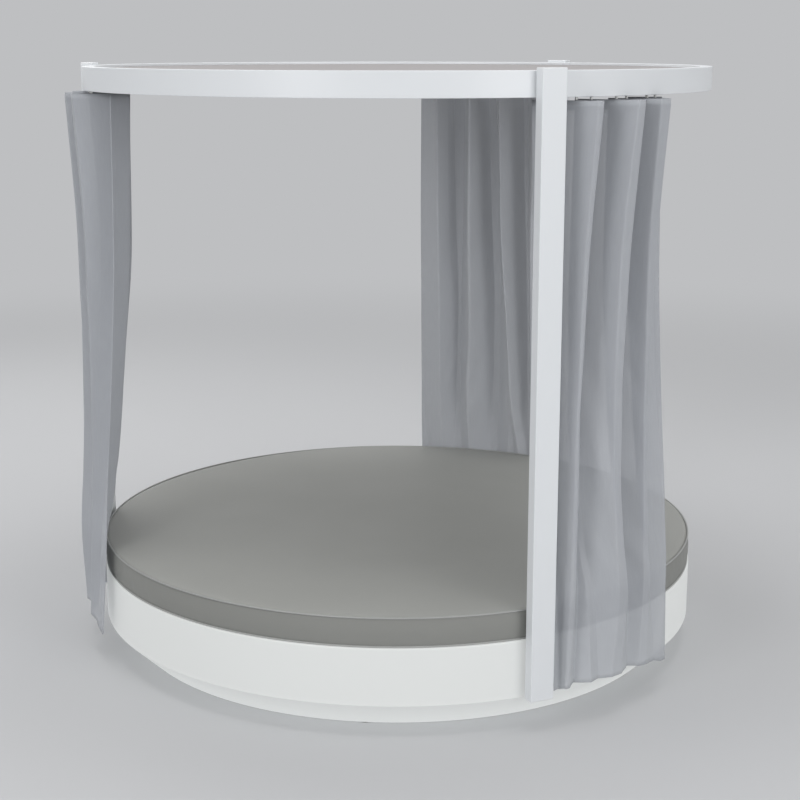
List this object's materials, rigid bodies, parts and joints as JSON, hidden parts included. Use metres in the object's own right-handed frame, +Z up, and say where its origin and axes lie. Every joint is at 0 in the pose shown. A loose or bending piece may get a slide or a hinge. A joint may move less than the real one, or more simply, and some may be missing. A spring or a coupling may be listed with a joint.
{
  "type": "round daybed",
  "caption": "Round daybed: a lit drum base with a round mattress, slim posts carrying a roof ring, and pleated curtains that slide round on the ring.",
  "frame": {"origin": "centre of the drum on the floor, on the underside of the middle foot", "axes": "+Z up; one post stands at the back on +Y, the others at 120 degrees either way, so the middle of the front bay faces -Y"},
  "size_m": [2.1634, 2.166, 2.008],
  "materials": {
    "galvanised_steel": "galvanised",
    "dark_plastic": "moulded",
    "glow_plastic": "rotomoulded translucent plastic, lit from inside",
    "rubber": "moulded",
    "curtain_fabric": "sheer outdoor voile",
    "white_nylon": "moulded nylon",
    "tape_fabric": "woven tape",
    "stainless_steel": "plain",
    "light_strip": "diffused light strip",
    "mattress_fabric": "woven outdoor fabric",
    "foam": "quick-dry foam",
    "welt_fabric": "piped edge",
    "white_paint": "satin powder coat",
    "white_plastic": "satin",
    "pad_rubber": "moulded pad",
    "aluminium": "mill finish",
    "roof_fabric": "coated, taut"
  },
  "bodies": {
    "frame": {"backing_plates": "galvanised_steel", "base_arm_back": "galvanised_steel", "base_arm_left": "galvanised_steel", "base_arm_right": "galvanised_steel", "base_floor_panel": "dark_plastic", "base_hub": "galvanised_steel", "base_shell": "glow_plastic", "cable_gland": "dark_plastic", "centre_foot": "rubber", "deck_ribs": "galvanised_steel", "driver_box": "dark_plastic", "driver_lid": "dark_plastic", "floor_glides": "rubber", "gland_nut": "dark_plastic", "hatch_screws": "stainless_steel", "lamp_hatch": "dark_plastic", "lamp_tray": "galvanised_steel", "light_bars": "light_strip", "post_back": "white_paint", "post_bolts": "stainless_steel", "post_cap_back": "white_plastic", "post_cap_left": "white_plastic", "post_cap_right": "white_plastic", "post_left": "white_paint", "post_nuts": "stainless_steel", "post_plug_back": "white_plastic", "post_plug_left": "white_plastic", "post_plug_right": "white_plastic", "post_right": "white_paint", "post_spacer_back": "pad_rubber", "post_spacer_left": "pad_rubber", "post_spacer_right": "pad_rubber", "ring_bolts": "stainless_steel", "ring_nuts": "stainless_steel", "ring_saddle_back": "pad_rubber", "ring_saddle_left": "pad_rubber", "ring_saddle_right": "pad_rubber", "ring_segment_back": "white_paint", "ring_segment_left": "white_paint", "ring_segment_right": "white_paint", "ring_splice_back": "aluminium", "ring_splice_left": "aluminium", "ring_splice_right": "aluminium", "roof_edge_cord": "roof_fabric", "roof_membrane": "roof_fabric", "track_stops": "white_nylon"},
    "mattress": {"mattress_base_cloth": "mattress_fabric", "mattress_core": "foam", "mattress_cover": "mattress_fabric", "mattress_welt_bottom": "welt_fabric", "mattress_welt_top": "welt_fabric"},
    "curtain_stack_back": {"curtain_back": "curtain_fabric", "curtain_tape_back": "tape_fabric", "curtain_gliders_back": "white_nylon"},
    "curtain_stack_left": {"curtain_left": "curtain_fabric", "curtain_tape_left": "tape_fabric", "curtain_gliders_left": "white_nylon"},
    "curtain_stack_right": {"curtain_right": "curtain_fabric", "curtain_tape_right": "tape_fabric", "curtain_gliders_right": "white_nylon"}
  },
  "joints": [
    {"name": "mattress_lift", "type": "slide", "parent": "frame", "child": "mattress", "axis": [0, 0, 1], "range_m": [0, 0.05]},
    {"name": "curtain_back_draw", "type": "hinge", "parent": "frame", "child": "curtain_stack_back", "pos_m": [0, 0, 0], "axis": [0, 0, 1], "range_deg": [0, 85]},
    {"name": "curtain_left_draw", "type": "hinge", "parent": "frame", "child": "curtain_stack_left", "pos_m": [0, 0, 0], "axis": [0, 0, 1], "range_deg": [0, 85]},
    {"name": "curtain_right_draw", "type": "hinge", "parent": "frame", "child": "curtain_stack_right", "pos_m": [0, 0, 0], "axis": [0, 0, 1], "range_deg": [0, 85]}
  ]
}
